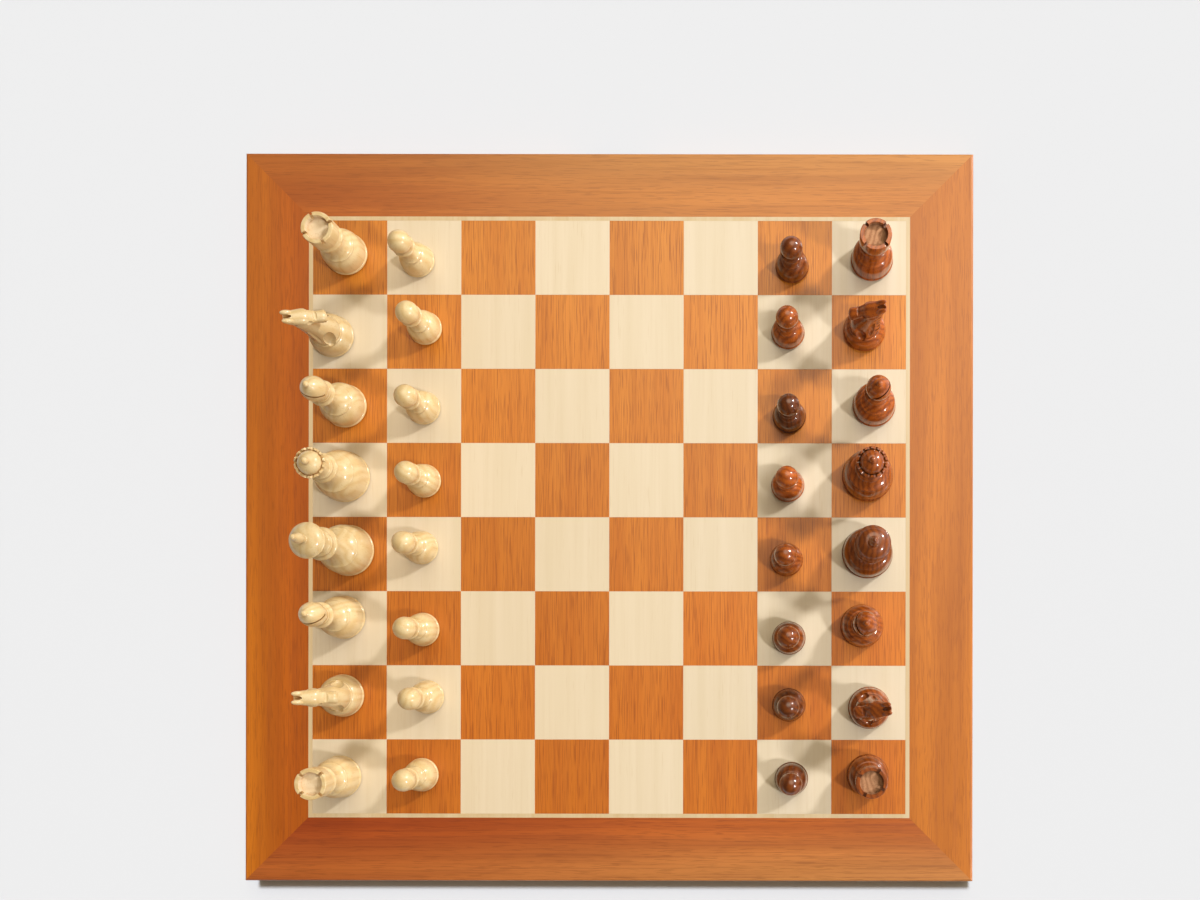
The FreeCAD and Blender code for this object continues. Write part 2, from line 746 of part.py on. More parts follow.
def ports(screw_long):
    # The port plate with its socket, button, switch and light. It returns the plate's screws.
    half = plate_length / 2
    face = block(
        (-half, y_plate_back, z_port - plate_height / 2),
        (half, y_plate, z_port + plate_height / 2),
    )
    usb_y = y_plate - 0.2 - usb_length
    slot = rounded_bar(usb_width + 2 * port_gap, usb_height + 2 * port_gap, y_plate_back, y_plate, 0, z_port)
    hole = rod(button_diameter + 2 * button_gap, y_plate_back, y_plate, button_x, z_port)
    eye = rod(light_diameter + 2 * screw_gap, y_plate_back, y_plate, light_x, z_port)
    thin = screw(small_screw_diameter, small_screw_head, screw_long)
    wide = screw(small_screw_diameter + 2 * screw_gap, small_screw_head + 2 * screw_gap, screw_long)
    pairs = []
    for shape in (thin, wide):
        shape.rotate(Vector(0, 0, 0), Vector(1, 0, 0), 90)
    for x in (plate_screw_inset - half, half - plate_screw_inset):
        pairs.append((moved(thin, x, y_plate, z_port), moved(wide, x, y_plate, z_port)))
    export("port_plate", face.cut([slot, hole, eye] + [wide for thin, wide in pairs]))

    shell = rounded_bar(usb_width, usb_height, usb_y, usb_y + usb_length, 0, z_port)
    inside_width = usb_width - 2 * usb_wall
    inside_height = usb_height - 2 * usb_wall
    hollow = rounded_bar(inside_width, inside_height, usb_y + 1, usb_y + usb_length, 0, z_port)
    tongue_half = inside_width / 2 - 0.9
    tongue = block(
        (-tongue_half, usb_y + 1, z_port - usb_tongue / 2),
        (tongue_half, usb_y + usb_length - 1.2, z_port + usb_tongue / 2),
    )
    export("usb_socket", shell.cut(hollow), tongue)

    flange_front = y_plate_back - joint_gap
    flange_back = flange_front - button_flange_thickness
    cap = rod(button_diameter, flange_back, y_plate + button_proud, button_x, z_port)
    rim = [edge for edge in cap.Edges if edge.BoundBox.YMin > y_plate]
    cap = cap.makeFillet(0.5, rim)
    flange = rod(button_flange, flange_back, flange_front, button_x, z_port)
    export("power_button", cap.fuse(flange).removeSplitter())

    plunger_front = flange_back - button_travel - 0.2
    switch_front = y_board - 1.0
    body = block(
        (button_x - switch_width / 2, switch_front - switch_depth, z_board_top),
        (button_x + switch_width / 2, switch_front, z_board_top + switch_height),
    )
    plunger = rod(switch_height * 0.5, switch_front - 0.5, plunger_front, button_x, z_port)
    export("button_switch", body.fuse(plunger))

    light_foot = block(
        (light_x - 2.2, y_board - 6, z_board_top),
        (light_x + 2.2, y_board - 1.5, z_port + light_diameter / 2),
    )
    pipe = rod(light_diameter, y_board - 3, y_plate - 0.1, light_x, z_port)
    export("status_light", light_foot.fuse(pipe))
    return pairs


def build_chessmen():
    models = {
        "rook": rook(),
        "knight": knight(),
        "bishop": bishop(),
        "queen": queen(),
        "king": king(),
        "pawn": pawn(),
    }
    order = ["rook", "knight", "bishop", "queen", "king", "bishop", "knight", "rook"]
    files = "abcdefgh"
    # How far each man stands off the middle of its square, set down by hand, from file a to file h
    stand = {
        "white": [(-2, 2), (-12, -4), (-2.7, -0.6), (-3, 2), (0, 2.5), (-3.5, 8), (-4, 5), (-6, 0)],
        "white_pawn": [(-4, -3), (1.5, 2), (0.5, -2), (1, -1), (-1, 4.5), (0, -1), (3.5, 4), (-0.5, 1.5)],
        "black_pawn": [(-2, -7), (-5, -1), (-4, -8), (-5, -4), (-6, -4), (-4, -7), (-4, -1.5), (-2, -1)],
        "black": [(2, -2), (-3.5, 1), (3.7, 0.4), (-1, 3), (-1, 1), (-5, 2), (0.5, -3.5), (-0.5, 1.5)],
    }
    facing = {"white": 0, "black": 180}
    turned_by = {
        "white_rook_a": -21,
        "white_knight_b": 15,
        "white_bishop_c": -115,
        "white_bishop_f": -85,
        "black_bishop_c": 145,
        "black_bishop_f": 15,
        "black_knight_g": 9,
        "black_rook_h": 15,
    }
    column = {"white": 0, "white_pawn": 1, "black_pawn": 6, "black": 7}
    for group, offsets in stand.items():
        side = group.split("_")[0]
        for k, (dx, dy) in enumerate(offsets):
            kind = "pawn" if group.endswith("pawn") else order[k]
            node = side + "_" + kind
            if kind not in ("king", "queen"):
                node += "_" + files[k]
            man = turn(models[kind], facing[side] + turned_by.get(node, 0))
            x = (column[group] + 0.5) * square - field / 2 + dx
            y = field / 2 - (k + 0.5) * square + dy
            export(node, moved(man, x, y, z_top))


os.makedirs("parts", exist_ok=True)
build_board()
build_chessmen()
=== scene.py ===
import math
import random

import bmesh
import bpy
from mathutils import Matrix, Vector


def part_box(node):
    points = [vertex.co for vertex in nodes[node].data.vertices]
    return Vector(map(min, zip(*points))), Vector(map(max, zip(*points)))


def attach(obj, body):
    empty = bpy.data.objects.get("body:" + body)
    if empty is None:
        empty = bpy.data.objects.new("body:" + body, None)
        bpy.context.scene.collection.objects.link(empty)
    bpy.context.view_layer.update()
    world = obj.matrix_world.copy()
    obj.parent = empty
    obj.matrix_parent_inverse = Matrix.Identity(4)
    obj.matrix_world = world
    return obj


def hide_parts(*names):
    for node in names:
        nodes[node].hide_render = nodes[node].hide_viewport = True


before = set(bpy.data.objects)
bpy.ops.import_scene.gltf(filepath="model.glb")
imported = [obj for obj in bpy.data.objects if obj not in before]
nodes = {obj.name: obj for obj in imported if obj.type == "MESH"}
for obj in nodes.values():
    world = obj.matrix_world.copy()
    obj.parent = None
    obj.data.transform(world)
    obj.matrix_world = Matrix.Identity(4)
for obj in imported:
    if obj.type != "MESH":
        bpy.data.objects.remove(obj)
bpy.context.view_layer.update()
scene = bpy.context.scene
scene.view_settings.view_transform = "Standard"
mm = 0.001


def toLinear(colour):
    # "#rrggbb" as painted on a screen, turned to the light that a shader needs
    whole = int(colour.lstrip("#"), 16)
    parts = []
    for shift in (16, 8, 0):
        share = ((whole >> shift) & 255) / 255
        parts.append(share / 12.92 if share <= 0.04045 else ((share + 0.055) / 1.055) ** 2.4)
    return (*parts, 1.0)


def addNode(tree, kind, settings, feeds):
    # settings are the node's own switches, feeds are values or the sockets that lead into it
    node = tree.nodes.new(kind)
    for name, value in settings.items():
        setattr(node, name, value)
    for name, value in feeds.items():
        if isinstance(value, bpy.types.NodeSocket):
            tree.links.new(value, node.inputs[name])
        else:
            node.inputs[name].default_value = value
    return node


def startMaterial(name):
    material = bpy.data.materials.new(name)
    material.use_nodes = True
    tree = material.node_tree
    return material, tree, tree.nodes["Principled BSDF"]


def scaled(size):
    # Turns the size of one feature in mm, across, along and through, to the stretch of its texture
    return tuple(1 / (side * mm) for side in size)


# The view: straight down over the lower right of the board, cropped off the middle as the photograph is
view = {
    "place": (0.1461, -0.1060, 0.856),
    "turn": math.radians(0.072),
    "lens": 33.72,
    "sensor": 36.0,
    "shift": (-0.1716, 0.1753),
    "clipStart": 0.01,
}
camera = bpy.data.objects.new("camera", bpy.data.cameras.new("camera"))
scene.collection.objects.link(camera)
camera.location = view["place"]
camera.rotation_euler = (0, 0, view["turn"])
camera.data.sensor_width = view["sensor"]
camera.data.lens = view["lens"]
camera.data.shift_x, camera.data.shift_y = view["shift"]
camera.data.clip_start = view["clipStart"]
scene.camera = camera
print("camera set")


# Sliced veneer under a thin satin lacquer: straight streaks along the grain, slow bands of tone,
# and short dark pores. Sizes are in mm, across, along and through the grain.
# The real pores are about 0.3 mm wide, drawn wider so that they show from the camera.
# First what all the veneers share: the noise of each layer, how sharply a streak or a pore sets in, how deep
# the pores go, the lacquer, and how far apart in m the squares are cut from the sheet.
lacquerIor = 1.5
anyVeneer = {
    "layers": {
        "band": {"detail": 2, "low": 0.32, "high": 0.68},
        "streak": {"detail": 3, "low": 0.3, "high": 0.7},
        "pore": {"detail": 1, "low": 0, "high": 1},
    },
    "streakEdge": (0.45, 0.95),
    "poreEdge": 0.1,
    "poreDepth": 0.05 * mm,
    "poreBump": 0.25,
    "glossSpread": (-0.05, 0.07),
    "coatRoughness": 0.22,
    "sheetStep": (3.1, 1.7, 2.3),
}
railVeneer = {
    "band": (13, 330, 13),
    "streak": (1.7, 120, 1.7),
    "pore": (0.6, 15, 0.6),
    "poreFrom": 0.55,
    "poreShare": 0.42,
    "streakShare": 0.4,
    "roughness": 0.42,
    "coat": 0.3,
}
# Each rail is another leaf of the same wood, with its own tone and its own spot of the sheet.
# A drift is painted light and shade: a slow change of tone along one axis of the board, between two places in m
# and the tints there. The front and back rails are painted darker towards the left, away from the lamps, and
# all but the right one are painted darker towards the squares and paler outwards, as painted shade and sheen.
# The dark squares are painted darker towards the front and paler towards the back, as a painted sheen, and the
# light ones a little darker and cooler towards the right, as painted shade against the lamps' stronger light
# there.
railLeaves = {
    "front": {
        "pale": "#c68343", "deep": "#a76831", "line": "#905324", "poreColour": "#88501f",
        "cutFrom": (0.9, 2.1, 0),
        "paintedLightDrifts": [
            {"axis": "X", "between": (-0.27, 0.2), "tints": ("#efc6a6", "#ffffff")},
            {"axis": "Y", "between": (-0.27, -0.223), "tints": ("#ffffff", "#f0be84")},
        ],
    },
    "back": {
        "pale": "#ca873c", "deep": "#b2712d", "line": "#a36323", "poreColour": "#945b20",
        "cutFrom": (4.3, 3.2, 0),
        "paintedLightDrifts": [
            {"axis": "X", "between": (-0.27, 0.04), "tints": ("#ecc9a4", "#ffffff")},
            {"axis": "Y", "between": (0.235, 0.27), "tints": ("#fae9cd", "#ffffff")},
        ],
    },
    "left": {
        "pale": "#ce7513", "deep": "#b4600b", "line": "#a45307", "poreColour": "#914806",
        "cutFrom": (6.2, 5.1, 0),
        "paintedLightDrifts": [{"axis": "X", "between": (-0.265, -0.235), "tints": ("#ffffff", "#e7d0b8")}],
    },
    "right": {
        "pale": "#c4731f", "deep": "#ae6114", "line": "#a0540f", "poreColour": "#90490d",
        "cutFrom": (8.4, 7.7, 0),
    },
}
darkVeneer = {
    "band": (11, 300, 11),
    "streak": (0.95, 100, 0.95),
    "pore": (0.5, 24, 0.5),
    "pale": "#d4842a",
    "deep": "#c87620",
    "line": "#b26317",
    "poreColour": "#984c0c",
    # painted sheen: the dark squares darker towards the front, paler towards the back
    "paintedLightDrifts": [{"axis": "Y", "between": (-0.22, 0.22), "tints": ("#f9e6d3", "#ffffff")}],
    "poreFrom": 0.54,
    "poreShare": 0.6,
    "streakShare": 0.45,
    "tone": (0.93, 1.05),
    "roughness": 0.4,
    "coat": 0.3,
}
lightVeneer = {
    "band": (9, 260, 9),
    "streak": (1.8, 80, 1.8),
    "pore": (1.0, 22, 1.0),
    "pale": "#e6d6bb",
    "deep": "#e1d0b2",
    "line": "#dcc8a7",
    "poreColour": "#cfb58a",
    # painted shade: a little darker and cooler towards the right, against the lamps' stronger light there
    "paintedLightDrifts": [{"axis": "X", "between": (-0.1, 0.22), "tints": ("#ffffff", "#f5f7fb")}],
    "poreFrom": 0.66,
    "poreShare": 0.25,
    "streakShare": 0.25,
    "tone": (0.97, 1.01),
    "roughness": 0.42,
    "coat": 0.4,
}
inlayMaple = dict(lightVeneer, pale="#d9c49f", deep="#d2b88d", line="#c7aa78")


def flatVeneer(name, look, turn=0.0, tiled=False):
    material, tree, shader = startMaterial(name)
    spot = addNode(tree, "ShaderNodeTexCoord", {}, {}).outputs["Object"]
    cutFrom = look.get("cutFrom", (0, 0, 0))
    place = addNode(tree, "ShaderNodeMapping", {},
                    {"Vector": spot, "Location": cutFrom, "Rotation": (0, 0, turn)}).outputs[0]
    if tiled:
        # Each square is cut from another spot of the sheet, so its seed shifts the pattern
        seed = addNode(tree, "ShaderNodeAttribute", {"attribute_name": "tileSeed"}, {}).outputs["Fac"]
        away = addNode(tree, "ShaderNodeVectorMath", {"operation": "SCALE"},
                       {0: anyVeneer["sheetStep"], "Scale": seed})
        place = addNode(tree, "ShaderNodeVectorMath", {"operation": "ADD"},
                        {0: place, 1: away.outputs[0]}).outputs[0]
    layers = {}
    for layer, cloud in anyVeneer["layers"].items():
        stretched = addNode(tree, "ShaderNodeVectorMath", {"operation": "MULTIPLY"},
                            {0: place, 1: scaled(look[layer])})
        noise = addNode(tree, "ShaderNodeTexNoise", {},
                        {"Vector": stretched.outputs[0], "Scale": 1.0, "Detail": cloud["detail"]})
        spread = addNode(tree, "ShaderNodeMapRange", {},
                         {0: noise.outputs[0], 1: cloud["low"], 2: cloud["high"]})
        layers[layer] = spread.outputs[0]
    poreTo = look["poreFrom"] + anyVeneer["poreEdge"]
    pores = addNode(tree, "ShaderNodeMapRange", {"interpolation_type": "SMOOTHSTEP"},
                    {0: layers["pore"], 1: look["poreFrom"], 2: poreTo, 4: look["poreShare"]})
    streakFrom, streakTo = anyVeneer["streakEdge"]
    lines = addNode(tree, "ShaderNodeMapRange", {"interpolation_type": "SMOOTHSTEP"},
                    {0: layers["streak"], 1: streakFrom, 2: streakTo, 4: look["streakShare"]})
    ground = addNode(tree, "ShaderNodeMix", {"data_type": "RGBA"},
                     {0: layers["band"], 6: toLinear(look["pale"]), 7: toLinear(look["deep"])})
    lined = addNode(tree, "ShaderNodeMix", {"data_type": "RGBA"},
                    {0: lines.outputs[0], 6: ground.outputs[2], 7: toLinear(look["line"])})
    wood = addNode(tree, "ShaderNodeMix", {"data_type": "RGBA"},
                   {0: pores.outputs[0], 6: lined.outputs[2], 7: toLinear(look["poreColour"])})
    colour = wood.outputs[2]
    if tiled:
        tone = addNode(tree, "ShaderNodeMapRange", {}, {0: seed, 3: look["tone"][0], 4: look["tone"][1]})
        toned = addNode(tree, "ShaderNodeVectorMath", {"operation": "SCALE"},
                        {0: colour, "Scale": tone.outputs[0]})
        colour = toned.outputs[0]
    # Painted light and shade: each drift tints the wood slowly along one axis of the board
    for paintedDrift in look.get("paintedLightDrifts", []):
        along = addNode(tree, "ShaderNodeSeparateXYZ", {}, {0: spot}).outputs[paintedDrift["axis"]]
        start, end = paintedDrift["between"]
        share = addNode(tree, "ShaderNodeMapRange", {"interpolation_type": "SMOOTHSTEP"},
                        {0: along, 1: start, 2: end})
        first, last = paintedDrift["tints"]
        tint = addNode(tree, "ShaderNodeMix", {"data_type": "RGBA"},
                       {0: share.outputs[0], 6: toLinear(first), 7: toLinear(last)})
        tinted = addNode(tree, "ShaderNodeVectorMath", {"operation": "MULTIPLY"},
                         {0: colour, 1: tint.outputs[2]})
        colour = tinted.outputs[0]
    smoother, rougher = anyVeneer["glossSpread"]
    gloss = addNode(tree, "ShaderNodeMapRange", {},
                    {0: layers["streak"], 3: look["roughness"] + smoother, 4: look["roughness"] + rougher})
    bump = addNode(tree, "ShaderNodeBump", {"invert": True},
                   {"Strength": anyVeneer["poreBump"], "Distance": anyVeneer["poreDepth"],
                    "Height": pores.outputs[0]})
    tree.links.new(colour, shader.inputs["Base Color"])
    tree.links.new(gloss.outputs[0], shader.inputs["Roughness"])
    tree.links.new(bump.outputs[0], shader.inputs["Normal"])
    shader.inputs["IOR"].default_value = lacquerIor
    shader.inputs["Coat Weight"].default_value = look["coat"]
    shader.inputs["Coat Roughness"].default_value = anyVeneer["coatRoughness"]
    return material


alongX = math.radians(90)
railWood = {}
for rail, leaf in railLeaves.items():
    turn = alongX if rail in ("front", "back") else 0.0
    railWood[rail] = flatVeneer("sapeleVeneer" + rail.capitalize(), railVeneer | leaf, turn)
darkSquareWood = flatVeneer("sapeleSquareVeneer", darkVeneer, tiled=True)
lightSquareWood = flatVeneer("mapleSquareVeneer", lightVeneer, tiled=True)
inlayWood = flatVeneer("mapleStringing", inlayMaple)
print("veneers made")


# Turned wood, polished and lacquered. The growth layers stand nearly upright in the blank, so they
# show as rings on the top of a man and as long flames on its sides. Layer spacing is in mm.
# First what both woods share: the noises, how far the layers waver, how sharply layers and fibres set in, how
# deep the fibres go, and how near and how closed the walls of a groove are where painted shade darkens the
# wood.
anyTurned = {
    "detail": {"waver": 3, "fibre": 1},
    "waverReach": 9.0,
    "layerEdge": (0.15, 1.0),
    "fibreEdge": 0.12,
    "fibreDepth": 0.04 * mm,
    "fibreBump": 0.15,
    "grooveSamples": 8,
    "grooveReach": 3.5 * mm,
    "grooveOpen": (0.35, 0.9),
    "glossSpread": (-0.06, 0.1),
}
boxwood = {
    "layer": 3.2,
    "waver": (26, 26, 120),
    "fibre": (0.9, 0.9, 14),
    "pale": "#e6cd9b",
    "deep": "#d9b679",
    "layerShare": 0.6,
    "fibreColour": "#c9a35f",
    "fibreFrom": 0.58,
    "fibreShare": 0.3,
    "dim": 0.84,
    "bright": 1.04,
    # painted shade colour in the grooves and carving
    "grooveShade": "#b07832",
    "grooveShadeShare": 0.7,
    "roughness": 0.4,
    "underLacquer": 0.5,
    "coat": 0.4,
    "coatRoughness": 0.13,
}
rosewood = {
    "layer": 1.9,
    "waver": (22, 22, 80),
    "fibre": (0.7, 0.7, 16),
    "pale": "#994b10",
    "deep": "#5f2405",
    "layerShare": 0.6,
    "fibreColour": "#341303",
    "fibreFrom": 0.56,
    "fibreShare": 0.45,
    "dim": 0.3,
    "bright": 1.4,
    # painted shade colour in the grooves and carving
    "grooveShade": "#260d02",
    "grooveShadeShare": 0.7,
    "roughness": 0.42,
    "underLacquer": 0.2,
    "coat": 1.0,
    "coatRoughness": 0.08,
}
# The floor of a rook's cup is left off the lacquer, bare and matt, and painted paler with painted light
bareCupWithPaintedLight = {"layerShare": 0.55, "fibreShare": 0.4, "grooveShadeShare": 0.3, "roughness": 0.62, "coat": 0.0}
bareBoxwoodCupWithPaintedLight = boxwood | bareCupWithPaintedLight | {"pale": "#e8d2b0", "deep": "#dcc096"}
bareRosewoodCupWithPaintedLight = rosewood | bareCupWithPaintedLight | {
    "pale": "#c8936a",
    "deep": "#8a5630",
    "fibreColour": "#5f3517",
    "dim": 0.5,
    "bright": 0.74,
}


def turnedWood(name, look):
    material, tree, shader = startMaterial(name)
    place = addNode(tree, "ShaderNodeAttribute", {"attribute_name": "grainPlace"}, {}).outputs["Vector"]
    tone = addNode(tree, "ShaderNodeAttribute", {"attribute_name": "woodTone"}, {}).outputs["Fac"]
    noises = {}
    for layer, detail in anyTurned["detail"].items():
        stretched = addNode(tree, "ShaderNodeVectorMath", {"operation": "MULTIPLY"},
                            {0: place, 1: scaled(look[layer])})
        noises[layer] = addNode(tree, "ShaderNodeTexNoise", {},
                                {"Vector": stretched.outputs[0], "Scale": 1.0, "Detail": detail}).outputs[0]
    across = addNode(tree, "ShaderNodeSeparateXYZ", {}, {0: place}).outputs[0]
    count = addNode(tree, "ShaderNodeMath", {"operation": "MULTIPLY"},
                    {0: across, 1: 1 / (look["layer"] * mm)})
    bent = addNode(tree, "ShaderNodeMath", {"operation": "MULTIPLY_ADD"},
                   {0: noises["waver"], 1: anyTurned["waverReach"], 2: count.outputs[0]})
    year = addNode(tree, "ShaderNodeMath", {"operation": "PINGPONG"}, {0: bent.outputs[0], 1: 1.0})
    layerFrom, layerTo = anyTurned["layerEdge"]
    layerShare = addNode(tree, "ShaderNodeMapRange", {"interpolation_type": "SMOOTHSTEP"},
                         {0: year.outputs[0], 1: layerFrom, 2: layerTo, 4: look["layerShare"]})
    fibreTo = look["fibreFrom"] + anyTurned["fibreEdge"]
    fibres = addNode(tree, "ShaderNodeMapRange", {"interpolation_type": "SMOOTHSTEP"},
                     {0: noises["fibre"], 1: look["fibreFrom"], 2: fibreTo, 4: look["fibreShare"]})
    ground = addNode(tree, "ShaderNodeMix", {"data_type": "RGBA"},
                     {0: layerShare.outputs[0], 6: toLinear(look["pale"]), 7: toLinear(look["deep"])})
    wood = addNode(tree, "ShaderNodeMix", {"data_type": "RGBA"},
                   {0: fibres.outputs[0], 6: ground.outputs[2], 7: toLinear(look["fibreColour"])})
    strength = addNode(tree, "ShaderNodeMapRange", {}, {0: tone, 3: look["dim"], 4: look["bright"]})
    stained = addNode(tree, "ShaderNodeVectorMath", {"operation": "SCALE"},
                      {0: wood.outputs[2], "Scale": strength.outputs[0]})
    # Painted shade: the wood darkens towards a groove colour where the walls of grooves and carving close in
    openness = addNode(tree, "ShaderNodeAmbientOcclusion",
                       {"only_local": True, "samples": anyTurned["grooveSamples"]},
                       {"Distance": anyTurned["grooveReach"]})
    closed, free = anyTurned["grooveOpen"]
    paintedShade = addNode(tree, "ShaderNodeMapRange", {"interpolation_type": "SMOOTHSTEP"},
                   {0: openness.outputs["AO"], 1: closed, 2: free, 3: look["grooveShadeShare"], 4: 0.0})
    colour = addNode(tree, "ShaderNodeMix", {"data_type": "RGBA"},
                     {0: paintedShade.outputs[0], 6: stained.outputs[0], 7: toLinear(look["grooveShade"])})
    smoother, rougher = anyTurned["glossSpread"]
    gloss = addNode(tree, "ShaderNodeMapRange", {},
                    {0: noises["fibre"], 3: look["roughness"] + smoother, 4: look["roughness"] + rougher})
    bump = addNode(tree, "ShaderNodeBump", {"invert": True},
                   {"Strength": anyTurned["fibreBump"], "Distance": anyTurned["fibreDepth"],
                    "Height": fibres.outputs[0]})
    tree.links.new(colour.outputs[2], shader.inputs["Base Color"])
    tree.links.new(gloss.outputs[0], shader.inputs["Roughness"])
    tree.links.new(bump.outputs[0], shader.inputs["Normal"])
    shader.inputs["IOR"].default_value = lacquerIor
    shader.inputs["Specular IOR Level"].default_value = look["underLacquer"]
    shader.inputs["Coat Weight"].default_value = look["coat"]
    shader.inputs["Coat Roughness"].default_value = look["coatRoughness"]
    return material


whiteWood = turnedWood("lacqueredBoxwood", boxwood)
blackWood = turnedWood("stainedRosewood", rosewood)
whiteCup = turnedWood("bareBoxwoodCupWithPaintedLight", bareBoxwoodCupWithPaintedLight)
blackCup = turnedWood("bareRosewoodCupWithPaintedLight", bareRosewoodCupWithPaintedLight)

# Everything else: what it is, how it was made, and the grain of that surface in mm.
# First what these finishes share: the noise, where flecks set in, how the gloss varies, the strength of
# the bump, and how rough a sheen is.
anyFinish = {
    "detail": 3.0,
    "fleckEdge": (0.35, 0.65),
    "glossSpread": 0.08,
    "bumpStrength": 0.4,
    "sheenRoughness": 0.5,
}
finishes = {
    # pressed wool, matt and a little fuzzy
    "woolFelt": {"base": "#24452c", "fleck": "#32593a", "grain": (0.5, 0.5, 0.5),
                 "roughness": 0.95, "bump": 0.3, "sheen": 0.4},
    # wood fibre pressed with resin, brown and flecked
    "fibreboard": {"base": "#8a6a48", "fleck": "#6f5236", "grain": (0.8, 0.8, 0.8),
                   "roughness": 0.8, "bump": 0.1},
    # hard pressed board with one smooth dark face
    "hardboard": {"base": "#5b3c26", "fleck": "#4a2f1d", "grain": (1.2, 1.2, 1.2),
                  "roughness": 0.55, "bump": 0.08},
    # sawn pine, pale with a soft grain
    "pineBatten": {"base": "#d9b77e", "fleck": "#c49a5c", "grain": (2.0, 60.0, 2.0),
                   "roughness": 0.6, "bump": 0.1},
    # planed beech key across the mitre
    "beechSpline": {"base": "#c69a6a", "fleck": "#b2834f", "grain": (1.0, 9.0, 1.0),
                    "roughness": 0.5, "bump": 0.05},
    # zinc plated steel, bright with a fine drawn grain
    "zincSteel": {"base": "#c3c5c6", "fleck": "#a5a8ab", "grain": (0.4, 3.0, 0.4),
                  "roughness": 0.32, "bump": 0.02, "metallic": 1.0},
    # nickel plated steel shell of the socket
    "nickelSteel": {"base": "#c9c6bf", "fleck": "#aeaba4", "grain": (0.3, 2.0, 0.3),
                    "roughness": 0.28, "bump": 0.02, "metallic": 1.0},
    # bare copper track, a little dulled
    "copperTrack": {"base": "#c77a4a", "fleck": "#a9613a", "grain": (0.8, 0.8, 0.8),
                    "roughness": 0.38, "bump": 0.02, "metallic": 1.0},
    # soft black rubber with a moulded matt skin
    "mouldedRubber": {"base": "#1d1d1e", "fleck": "#2a2a2b", "grain": (0.5, 0.5, 0.5),
                      "roughness": 0.8, "bump": 0.12},
    # ABS moulded in a spark eroded tool, fine and even
    "mouldedAbs": {"base": "#1b1a1a", "fleck": "#242323", "grain": (0.35, 0.35, 0.35),
                   "roughness": 0.5, "bump": 0.12},
    # glossier ABS of the button that a finger meets
    "polishedAbs": {"base": "#2a2827", "fleck": "#322f2e", "grain": (0.6, 0.6, 0.6),
                    "roughness": 0.3, "bump": 0.03},
    # glass cloth board under green lacquer, the cloth just showing
    "circuitBoard": {"base": "#1f5a3a", "fleck": "#17482e", "grain": (0.7, 0.7, 0.7),
                     "roughness": 0.35, "bump": 0.06},
    # epoxy moulding compound of a chip
    "chipEpoxy": {"base": "#222326", "fleck": "#2d2e31", "grain": (0.25, 0.25, 0.25),
                  "roughness": 0.6, "bump": 0.06},
    # tinned screening can
    "tinnedCan": {"base": "#bfc1c3", "fleck": "#a9abad", "grain": (1.5, 1.5, 1.5),
                  "roughness": 0.36, "bump": 0.02, "metallic": 1.0},
    # heat shrunk film over the cells
    "shrinkFilm": {"base": "#2c4f86", "fleck": "#26467a", "grain": (3.0, 3.0, 3.0),
                   "roughness": 0.3, "bump": 0.05},
    # natural nylon body of the switch
    "switchNylon": {"base": "#d9d4c6", "fleck": "#ccc6b6", "grain": (0.6, 0.6, 0.6),
                    "roughness": 0.5, "bump": 0.05},
    # clear acrylic rod that brings the light out, milky at its end
    "acrylicRod": {"base": "#dfe6e3", "fleck": "#cfd8d4", "grain": (0.8, 0.8, 0.8),
                   "roughness": 0.25, "bump": 0.03},
    # grey ribbed flat cable
    "ribbonPvc": {"base": "#a4a4a2", "fleck": "#8f8f8d", "grain": (0.6, 40.0, 0.6),
                  "roughness": 0.55, "bump": 0.15},
    # red lead sleeve
    "leadPvc": {"base": "#9c2b22", "fleck": "#8a241c", "grain": (1.0, 1.0, 1.0),
                "roughness": 0.45, "bump": 0.03},
}
made = {}
for name, look in finishes.items():
    material, tree, shader = startMaterial(name)
    place = addNode(tree, "ShaderNodeTexCoord", {}, {}).outputs["Object"]
    stretched = addNode(tree, "ShaderNodeVectorMath", {"operation": "MULTIPLY"},
                        {0: place, 1: scaled(look["grain"])})
    noise = addNode(tree, "ShaderNodeTexNoise", {},
                    {"Vector": stretched.outputs[0], "Scale": 1.0, "Detail": anyFinish["detail"]})
    fleckFrom, fleckTo = anyFinish["fleckEdge"]
    share = addNode(tree, "ShaderNodeMapRange", {}, {0: noise.outputs[0], 1: fleckFrom, 2: fleckTo})
    colour = addNode(tree, "ShaderNodeMix", {"data_type": "RGBA"},
                     {0: share.outputs[0], 6: toLinear(look["base"]), 7: toLinear(look["fleck"])})
    smoothest = look["roughness"] - anyFinish["glossSpread"]
    roughest = min(1.0, look["roughness"] + anyFinish["glossSpread"])
    gloss = addNode(tree, "ShaderNodeMapRange", {}, {0: noise.outputs[0], 3: smoothest, 4: roughest})
    bump = addNode(tree, "ShaderNodeBump", {},
                   {"Strength": anyFinish["bumpStrength"], "Distance": look["bump"] * mm,
                    "Height": noise.outputs[0]})
    tree.links.new(colour.outputs[2], shader.inputs["Base Color"])
    tree.links.new(gloss.outputs[0], shader.inputs["Roughness"])
    tree.links.new(bump.outputs[0], shader.inputs["Normal"])
    shader.inputs["Metallic"].default_value = look.get("metallic", 0.0)
    if "sheen" in look:
        shader.inputs["Sheen Weight"].default_value = look["sheen"]
        shader.inputs["Sheen Roughness"].default_value = anyFinish["sheenRoughness"]
    made[name] = material
print("finishes made:", len(made))

